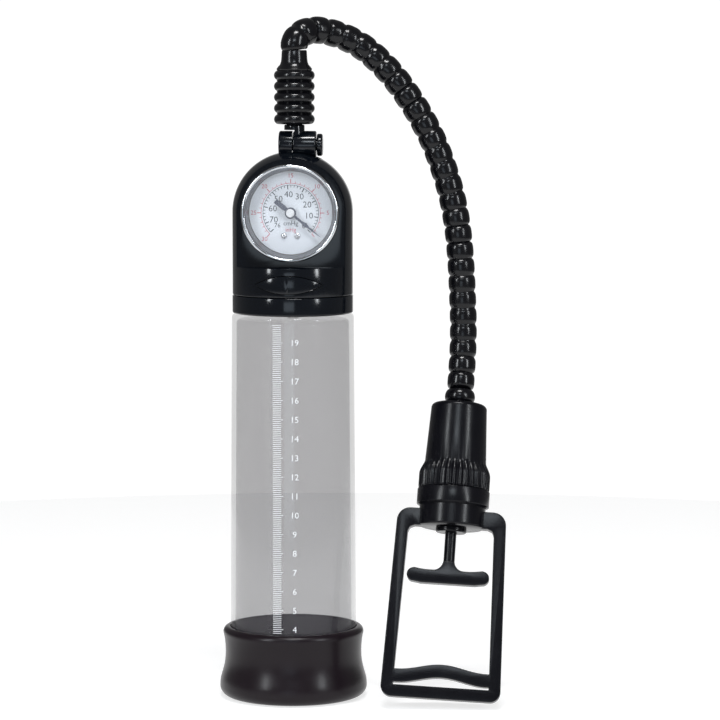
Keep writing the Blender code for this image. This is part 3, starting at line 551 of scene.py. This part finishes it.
def make_dial():
    disc = turned("dial_face", [(1.3, 12.2), (21.7, 12.2), (21.7, 12.8), (1.3, 12.8)], AT_GAUGE, "dial")
    place_piece(disc, "cylinder", "dial_white", "gauge_dial")
    black = bmesh.new()
    red = bmesh.new()
    low = DIAL_FRONT + 0.01
    high = DIAL_FRONT + 0.05
    end = ZERO_ANGLE + ANGLE_PER_CM * FULL_SCALE
    ring_band(black, 14.4, 14.65, ZERO_ANGLE, end, low, high)
    ring_band(red, 15.35, 15.6, INCHES_START, INCHES_START + ANGLE_PER_INCH * FULL_INCHES, low, high)
    for value in range(0, FULL_SCALE + 1, 2):
        major = value % 10 == 0 or value == FULL_SCALE
        angle = ZERO_ANGLE + ANGLE_PER_CM * value
        dial_tick(black, 12.3 if major else 13.3, 14.4, angle, 0.5 if major else 0.32)
    for value in [*range(0, FULL_SCALE, 10), FULL_SCALE]:
        size = 4.6 if value < FULL_SCALE else 3.4
        dial_text(black, str(value), size, 9.6, ZERO_ANGLE + ANGLE_PER_CM * value)
    for value in range(FULL_INCHES + 1):
        major = value % 5 == 0
        angle = INCHES_START + ANGLE_PER_INCH * value
        dial_tick(red, 15.6, 17.6 if major else 16.6, angle, 0.4 if major else 0.25)
        if major and value:
            dial_text(red, str(value), 3.2, 19.4, angle)
    text_mesh(black, "cmHg", 3.3, Matrix.Translation((0, -5.5, PRINT_Z)), PRINT_THICK)
    text_mesh(red, "inHg", 3.0, Matrix.Translation((0, -8.9, PRINT_Z)), PRINT_THICK)
    place_piece(finish_mesh("dial_print_black", black, AT_GAUGE, "ink_black"), "cylinder", "needle_slate")
    place_piece(finish_mesh("dial_print_red", red, AT_GAUGE, "ink_red"), "cylinder", "needle_slate")
    for side, label in ((-1, "left"), (1, "right")):
        head = [(0, 9.9), (0.6, 9.9), (0.6, 13.1), (1.55, 13.1)]
        head += arc(0.35, 12.3, 1.5, 40, 80, 5) + [(0, 13.9)]
        at = AT_GAUGE @ Matrix.Translation((side * 3.5, -11.9, 0))
        screw = turned("small_screw_" + label, head, at, "steel", 32)
        place_piece(screw, "cylinder", "steel", "dial_screw_" + label)


def make_needle():
    at = AT_GAUGE @ Matrix.Rotation(math.radians(NEEDLE_REST), 4, "Z")
    side = [(20.2, 0.05), (12.0, 0.55), (10.8, 0.8), (9.8, 1.25), (8.6, 0.8), (7.6, 0.6), (0.0, 0.75)]
    side += [(-2.4, 0.8), (-4.2, 1.3), (-10.1, 1.3)]
    outline = side + [(x, -y) for x, y in reversed(side)]
    bm = extruded_mesh([(x, y, 14.6) for x, y in outline], (0, 0, 0.5))
    pointer = finish_mesh("pointer_blade", bm, at, "needle")
    hub = turned("hub", rounded_rod(3.0, 14.4, 15.5, 0.3), at, None, 48)
    combine(pointer, hub, "UNION")
    pointer.data.set_sharp_from_angle(angle=math.radians(38))
    place_piece(pointer, "pointer", "needle_slate", "needle")
    cap = turned("pointer_cap", rounded_rod(2.2, 15.6, 16.7, 0.45), at, "cap", 48)
    place_piece(cap, "pointer", "cap_white", "needle_cap")


# ---------------------------------------------------------------- swivel and hose

NECK_X = 1.0


def make_swivel():
    pin = [(0, -4.8), (3.0, -4.8), (3.0, 13.0), (5.3, 13.0)] + arc(5.25, 13.6, 0.6, -80, 0, 4)
    pin += arc(4.75, 14.8, 1.1, 0, 75, 6) + [(0, 15.95)]
    bolt = turned("swivel_bolt", pin, AT_PIN, "gloss", FINE)
    place_piece(bolt, "cylinder", "gloss_black", "swivel_pin")

    elbow = turned("elbow", rounded_rod(EAR_R, 0.5, 12.6, 0.8), AT_PIN, "gloss", FINE)
    stub = [(0, 0), (5.35, 0)] + arc(4.75, 9.9, 0.6, 0, 90, 4)
    stub += [(4.2, 10.5), (4.2, 30.0), (0, 30.0)]
    neck = turned("neck", stub, AT_SWIVEL @ Matrix.Translation((NECK_X, 0, 0)), None, FINE)
    combine(neck, block("clear", (-9, -9, -3), (1.4, 9, EAR_R + 0.5), AT_SWIVEL), "DIFFERENCE", "MANIFOLD")
    combine(elbow, neck, "UNION", "MANIFOLD")
    bore = turned("bore", [(0, -3), (PIN_BORE_R, -3), (PIN_BORE_R, 14), (0, 14)], AT_PIN, None, 36)
    combine(elbow, bore, "DIFFERENCE", "MANIFOLD")
    soften(elbow, 0.3, 2, 40.0)
    place_piece(elbow, "hand_pump", "gloss_black", "hose_elbow")


def make_hose_sleeve():
    """Five rounded ribs, then a neck that tapers to the hose."""
    pitch = 5.73
    low = 302.1
    top_bead = 327.9
    profile = [(4.6, low + 0.3), (8.6, low + 0.3)]
    for i in range(5):
        at = top_bead - pitch * (4 - i)
        if i:
            profile.append((9.3, at - pitch / 2))
        profile += arc(7.95, at, 2.75, -66, 66, 12)
    profile += [(9.4, top_bead + 3.3), (8.6, top_bead + 4.4), (7.5, top_bead + 5.6), (7.0, top_bead + 7.2)]
    profile += [(6.8, top_bead + 9.0), (6.6, SLEEVE_TOP - 0.6), (6.3, SLEEVE_TOP), (4.6, SLEEVE_TOP)]
    sleeve = turned("ribbed_sleeve", profile, AT_AXIS @ Matrix.Translation((NECK_X, 0, 0)), "hose", FINE)
    place_piece(sleeve, "hand_pump", "black_rubber", "hose_sleeve")


HOSE_R = 7.0
CUFF_HEIGHT = 8.0
HOSE_ROUTE = (
    (1.0, 0.0, 344.2),
    (3.6, 2.8, 349.0),
    (10.6, 9.2, 351.4),
    (19.0, 13.8, 350.2),
    (28.0, 16.4, 347.0),
    (37.1, 17.8, 341.6),
    (46.5, 18.6, 333.2),
    (55.1, 19.0, 323.2),
    (64.9, 19.3, 308.6),
    (73.1, 19.4, 293.0),
    (79.3, 19.4, 276.6),
    (83.6, 19.4, 261.0),
    (86.4, 19.4, 244.2),
    (87.9, 19.5, 227.0),
    (88.7, 19.6, 211.0),
    (89.2, 19.2, 196.0),
    (89.0, 17.6, 181.0),
)


def smooth_route(points, spacing):
    """Evenly spaced points along a Catmull-Rom curve through the given points."""
    nodes = [Vector(p) for p in points]
    nodes = [nodes[0] * 2 - nodes[1]] + nodes + [nodes[-1] * 2 - nodes[-2]]
    dense = []
    for a, b, c, d in zip(nodes, nodes[1:], nodes[2:], nodes[3:]):
        for i in range(24):
            t = i / 24
            bend = (2 * a - 5 * b + 4 * c - d) * t ** 2 + (3 * b - a - 3 * c + d) * t ** 3
            dense.append(0.5 * (2 * b + (c - a) * t + bend))
    dense.append(nodes[-2])
    lengths = [0.0]
    for one, two in zip(dense, dense[1:]):
        lengths.append(lengths[-1] + (two - one).length)
    count = round(lengths[-1] / spacing)
    evenly = []
    k = 0
    for i in range(count + 1):
        want = lengths[-1] * i / count
        while k < len(dense) - 2 and lengths[k + 1] < want:
            k += 1
        share = (want - lengths[k]) / max(lengths[k + 1] - lengths[k], 1e-9)
        evenly.append(dense[k].lerp(dense[k + 1], share))
    return evenly


def hose_line():
    """The hose's centreline from the sleeve to the pump's cuff, in millimetres."""
    end = AT_PUMP @ Vector((0, 0, CUFF_HEIGHT + 0.3))
    lead = AT_PUMP @ Vector((0, 0, CUFF_HEIGHT + 4.0))
    route = [Vector((AXIS_X + x, y, z)) for x, y, z in HOSE_ROUTE]
    start = Vector((AXIS_X + NECK_X, 0, SLEEVE_TOP + 0.3))
    return smooth_route([start] + route + [lead, end], 0.8)


BEAD_PITCH = 8.65
BEAD_R = 7.2
VALLEY_R = 5.5


def bead_radius(at, total):
    """Radius of the corrugated hose: full rings with short narrow valleys."""
    beads = round(total / BEAD_PITCH)
    u = at / total * beads % 1.0
    full = max(1.0 - abs(2 * u - 1) ** 3.2, 0.0) ** 0.5
    return VALLEY_R + (BEAD_R - VALLEY_R) * full


def make_hose():
    line = hose_line()
    total = sum((b - a).length for a, b in zip(line, line[1:]))
    sides = 40
    bm = bmesh.new()
    across = Vector((0, -1, 0))
    at = 0.0
    rings = []
    for i, p in enumerate(line):
        ahead = (line[min(i + 1, len(line) - 1)] - line[max(i - 1, 0)]).normalized()
        across = (across - ahead * across.dot(ahead)).normalized()
        other = ahead.cross(across)
        if i:
            at += (p - line[i - 1]).length
        r = bead_radius(at, total)
        ring = []
        for k in range(sides):
            a = math.tau * k / sides
            ring.append(bm.verts.new(p + across * (r * math.cos(a)) + other * (r * math.sin(a))))
        rings.append(ring)
    for one, two in zip(rings, rings[1:]):
        for k in range(sides):
            n = (k + 1) % sides
            bm.faces.new((one[k], one[n], two[n], two[k]))
    bm.faces.new(rings[0])
    bm.faces.new(rings[-1])
    hose = finish_mesh("corrugated_hose", bm, Matrix.Identity(4), "hose", 60.0)
    place_piece(hose, "hand_pump", "black_rubber", "hose")


# ---------------------------------------------------------------- hand pump

FLUTES = 34
FLUTE_DEPTH = 1.15
FLUTES_FROM_R = 16.3
FLUTES_LOW = -45.9
COLLAR_TOP = -46.3
FRAME_TOP = -57.0
FRAME_WEB = -66.0
COLLAR_BOTTOM = -66.0
GRIP_Z = -142.0
GRIP_THICK = 6.8
WAVE_HALF = 23.0
WAVE_RISE = 3.4
WEB_CORNER = 3.5
SILL = 6.2
FRAME_BOTTOM = -156.5
FRAME_HALF_TOP = 28.5
FRAME_HALF_BOTTOM = 31.4
LEG = 6.2
FRAME_DEPTH = 9.0
T_BAR_Z = -92.6
T_BAR_HALF = 21.6
T_BAR_THICK = 7.0
STEM_R = 2.95


def make_cuff():
    steps = 14
    profile = [(3.0, 0.3), (6.9, 0.3)]
    for i in range(steps + 1):
        bulge = math.sin(math.pi * i / steps) ** 0.6
        profile.append((6.4 + 1.6 * bulge, 0.5 + 7.3 * i / steps))
    profile += [(6.2, CUFF_HEIGHT), (3.0, CUFF_HEIGHT)]
    cuff = turned("hose_end_ring", profile, AT_PUMP, "hose", FINE)
    place_piece(cuff, "hand_pump", "black_rubber", "hose_cuff")


def make_barrel():
    profile = [(2.2, 0.0)] + arc(12.35, -2.4, 2.4, 90, 0, 8)
    profile += [(15.5, -18.0), (16.2, -31.2), (16.5, -32.2), (17.1, -33.4), (17.9, -35.0), (18.5, -36.5)]
    profile += [(18.75, -37.6), (18.8, -38.6), (18.8, -44.4), (18.75, -45.2), (18.5, -45.8), (18.1, -46.0)]
    profile += [(15.2, -46.0), (15.2, -52.0), (12.8, -52.0), (12.8, -3.5), (2.2, -3.5)]
    per_flute = 8
    bm = turned_mesh(profile, FLUTES * per_flute)
    bmesh.ops.remove_doubles(bm, verts=bm.verts, dist=0.0005)
    for v in bm.verts:
        r = math.hypot(v.co.x, v.co.y)
        if v.co.z > FLUTES_LOW and r > FLUTES_FROM_R:
            wave = 0.5 + 0.5 * math.cos(FLUTES * math.atan2(v.co.y, v.co.x))
            deep = min((r - FLUTES_FROM_R) / 1.2, 1.0) * FLUTE_DEPTH * wave ** 1.5
            v.co.x *= (r - deep) / r
            v.co.y *= (r - deep) / r
    barrel = finish_mesh("fluted_barrel", bm, AT_PUMP, "satin", 42.0)
    place_piece(barrel, "hand_pump", "satin_black", "pump_barrel")


def rounded(corners, radii, steps=10):
    """A closed outline with each corner replaced by an arc of its own radius."""
    points = []
    count = len(corners)
    for i in range(count):
        here = Vector(corners[i])
        before = (Vector(corners[i - 1]) - here).normalized()
        after = (Vector(corners[(i + 1) % count]) - here).normalized()
        half = before.angle(after) / 2
        centre = here + (before + after).normalized() * (radii[i] / math.sin(half))
        one = here + before * (radii[i] / math.tan(half)) - centre
        two = here + after * (radii[i] / math.tan(half)) - centre
        turn = one.angle_signed(two)
        for k in range(steps + 1):
            points.append(tuple(centre + Matrix.Rotation(-turn * k / steps, 2) @ one))
    return points


def leg_half(z):
    """Half of the frame's outer width at a height on the pump's axis."""
    t = (FRAME_TOP - z) / (FRAME_TOP - FRAME_BOTTOM)
    return FRAME_HALF_TOP + (FRAME_HALF_BOTTOM - FRAME_HALF_TOP) * t


def grip_height(x):
    """Height of the wavy bar above its ends, arched at the middle."""
    if abs(x) > WAVE_HALF:
        return 0.0
    return WAVE_RISE * (1 + math.cos(math.pi * x / WAVE_HALF)) / 2


def make_frame():
    top = FRAME_TOP
    bottom = FRAME_BOTTOM
    high = leg_half(top)
    base = leg_half(bottom)
    outer = rounded([(-high, top), (high, top), (base, bottom), (-base, bottom)], (7.0, 7.0, 5.5, 5.5))
    bar = prism("handle_frame", outer, -FRAME_DEPTH / 2, FRAME_DEPTH / 2, AT_PUMP, "satin")
    web = FRAME_WEB
    xs = [-24.0 + 1.5 * i for i in range(33)]
    wide = leg_half(web) - LEG
    ends = leg_half(GRIP_Z) - LEG
    hand = [(wide - WEB_CORNER, web), (wide - 1.0, web - 1.0), (wide, web - WEB_CORNER)]
    hand += [(ends, GRIP_Z - 0.2)] + [(x, GRIP_Z + grip_height(x)) for x in reversed(xs)]
    hand += [(-ends, GRIP_Z - 0.2), (-wide, web - WEB_CORNER)]
    hand += [(1.0 - wide, web - 1.0), (WEB_CORNER - wide, web)]
    combine(bar, prism("hand", hand, -20.0, 20.0, AT_PUMP), "DIFFERENCE")
    sill = bottom + SILL
    under = GRIP_Z - GRIP_THICK
    sides = leg_half(sill) - LEG
    slot = [(-sides, under)] + [(x, under + grip_height(x)) for x in xs]
    slot += [(sides, under), (sides, sill), (-sides, sill)]
    combine(bar, prism("slot", slot, -20.0, 20.0, AT_PUMP), "DIFFERENCE")
    soften(bar, 2.1, 4, 40.0)

    low = COLLAR_BOTTOM
    collar = [(19.0, COLLAR_TOP), (19.1, COLLAR_TOP - 0.3), (19.1, -54.0)]
    collar += arc(18.6, -54.0, 0.5, 0, -60, 3)
    collar += [(17.4, -55.4), (17.4, low + 1.2)] + arc(16.4, low + 1.1, 1.0, 0, -90, 5) + [(16.2, low)]
    collar += [(6.3, low), (6.3, -56.0), (12.4, -56.0), (12.4, -52.4), (15.5, -52.4), (15.5, COLLAR_TOP)]
    room = turned("room", [(0, -70), (14, -70), (14, -40), (0, -40)], AT_PUMP, None, FINE)
    combine(bar, room, "DIFFERENCE")
    combine(bar, turned("collar", collar, AT_PUMP, None, ROUND), "UNION")
    bar.data.shade_smooth()
    bar.data.set_sharp_from_angle(angle=math.radians(42))
    place_piece(bar, "hand_pump", "satin_black", "frame_handle")

    inside = STEM_R + 0.35
    bush = [(inside, low - 2.6), (7.6, low - 2.6), (8.1, low - 2.1), (8.1, low - 0.3)]
    bush += [(5.9, low - 0.3), (5.9, -57.0), (inside, -57.0)]
    place_piece(turned("rod_guide", bush, AT_PUMP, "satin", FINE), "hand_pump", "satin_black", "rod_bush")


def make_t_handle():
    half = T_BAR_THICK / 2
    z = T_BAR_Z
    end = T_BAR_HALF
    outline = [(-3.0, z + half + 5.0), (3.0, z + half + 5.0)]
    outline += arc(8.0, z + half + 5.0, 5.0, 180, 270, 10)
    outline += [(11.0, z + half), (14.0, z + half + 0.2), (16.5, z + half + 0.55), (18.0, z + half + 0.8)]
    outline += arc(end - half, z + 0.6, half, 75, -90, 16)
    outline += [(14.0, z - half)]
    mirrored = [(-x, h) for x, h in reversed(outline[2:])]
    bar = prism("pull_bar", outline + mirrored, -FRAME_DEPTH / 2, FRAME_DEPTH / 2, AT_PUMP, "satin")
    soften(bar, 1.9, 4, 40.0)
    stem = turned("stem", [(0, z), (STEM_R, z), (STEM_R, -15.3), (0, -15.3)], AT_PUMP, None, 48)
    combine(bar, stem, "UNION")
    bar.data.shade_smooth()
    bar.data.set_sharp_from_angle(angle=math.radians(42))
    place_piece(bar, "plunger", "satin_black", "t_handle")


# ---------------------------------------------------------------- stage

VIEW_YAW = math.radians(3.5)
VIEW_DISTANCE = 1.73
VIEW_HEIGHT = 0.343
FLOOR_RADIUS = 0.8
AIM = Vector(((AXIS_X + 35.4) * MM, 0.0, 0.1785))


def make_camera():
    data = bpy.data.cameras.new("camera")
    data.lens = 165.0
    data.sensor_width = 36.0
    camera = bpy.data.objects.new("camera", data)
    bpy.context.scene.collection.objects.link(camera)
    camera.location = (
        AIM.x + VIEW_DISTANCE * math.sin(VIEW_YAW), -VIEW_DISTANCE * math.cos(VIEW_YAW), VIEW_HEIGHT
    )
    camera.rotation_euler = (AIM - camera.location).to_track_quat("-Z", "Y").to_euler()
    bpy.context.scene.camera = camera


def area_light(name, place, target, size, power, colour=(1, 1, 1)):
    data = bpy.data.lights.new(name, "AREA")
    data.shape = "RECTANGLE"
    data.size = size[0]
    data.size_y = size[1]
    data.energy = power
    data.color = colour
    light = bpy.data.objects.new(name, data)
    bpy.context.scene.collection.objects.link(light)
    light.location = place
    light.rotation_euler = (Vector(target) - Vector(place)).to_track_quat("-Z", "Y").to_euler()


def make_world():
    """A dim studio with one bright wall: white only towards +Y, behind the object."""
    world = bpy.data.worlds.new("world")
    bpy.context.scene.world = world
    world.use_nodes = True
    tree = world.node_tree
    place = tree.nodes.new("ShaderNodeTexCoord")
    parts = tree.nodes.new("ShaderNodeSeparateXYZ")
    wall = tree.nodes.new("ShaderNodeMapRange")
    wall.inputs["From Min"].default_value = 0.94
    wall.inputs["From Max"].default_value = 0.975
    wall.inputs["To Min"].default_value = 0.20
    wall.inputs["To Max"].default_value = 1.05
    tree.links.new(place.outputs["Generated"], parts.inputs["Vector"])
    tree.links.new(parts.outputs["Y"], wall.inputs["Value"])
    tree.links.new(wall.outputs["Result"], tree.nodes["Background"].inputs["Strength"])
    tree.nodes["Background"].inputs["Color"].default_value = (1, 1, 1, 1)


def make_stage():
    """A pale round floor just under the object, the world and the studio lights."""
    bm = bmesh.new()
    bmesh.ops.create_circle(bm, cap_ends=True, segments=96, radius=FLOOR_RADIUS)
    mesh = bpy.data.meshes.new("floor")
    bm.to_mesh(mesh)
    bm.free()
    floor = bpy.data.objects.new("floor", mesh)
    bpy.context.scene.collection.objects.link(floor)
    floor.location.z = -0.0005
    paper = bpy.data.materials.new("pale_paper")
    paper.use_nodes = True
    shader = paper.node_tree.nodes["Principled BSDF"]
    shader.inputs["Base Color"].default_value = (0.42, 0.42, 0.42, 1)
    shader.inputs["Roughness"].default_value = 0.8
    shader.inputs["Emission Color"].default_value = (1, 1, 1, 1)
    shader.inputs["Emission Strength"].default_value = 0.70
    mesh.materials.append(paper)
    make_world()
    bpy.context.scene.view_settings.view_transform = "Standard"
    area_light("left_strip", (-1.0, -1.1, 0.75), (0, 0, 0.2), (0.16, 0.9), 11, (0.93, 0.97, 1.0))
    area_light("right_strip", (1.1, -0.9, 0.7), (0, 0, 0.2), (0.12, 0.9), 9, (0.93, 0.97, 1.0))
    area_light("top_soft", (0.05, -0.6, 1.5), (0, 0, 0.2), (0.5, 0.2), 14)
    area_light("high_card", (0.05, -1.6, 1.15), (0, 0, 0.15), (0.5, 0.3), 5, (0.85, 0.93, 1.0))
    area_light("front_card", (-0.15, -2.4, 0.12), (0, 0, 0.25), (0.8, 0.5), 2.5, (0.75, 0.88, 1.0))


def main():
    make_camera()
    make_hose()
    dress_cad_nodes()
    make_tube()
    make_scale()
    make_sleeve()
    make_head_base()
    make_head()
    make_button()
    make_bezel()
    make_dial()
    make_needle()
    make_swivel()
    make_hose_sleeve()
    make_cuff()
    make_barrel()
    make_frame()
    make_t_handle()
    make_stage()


main()
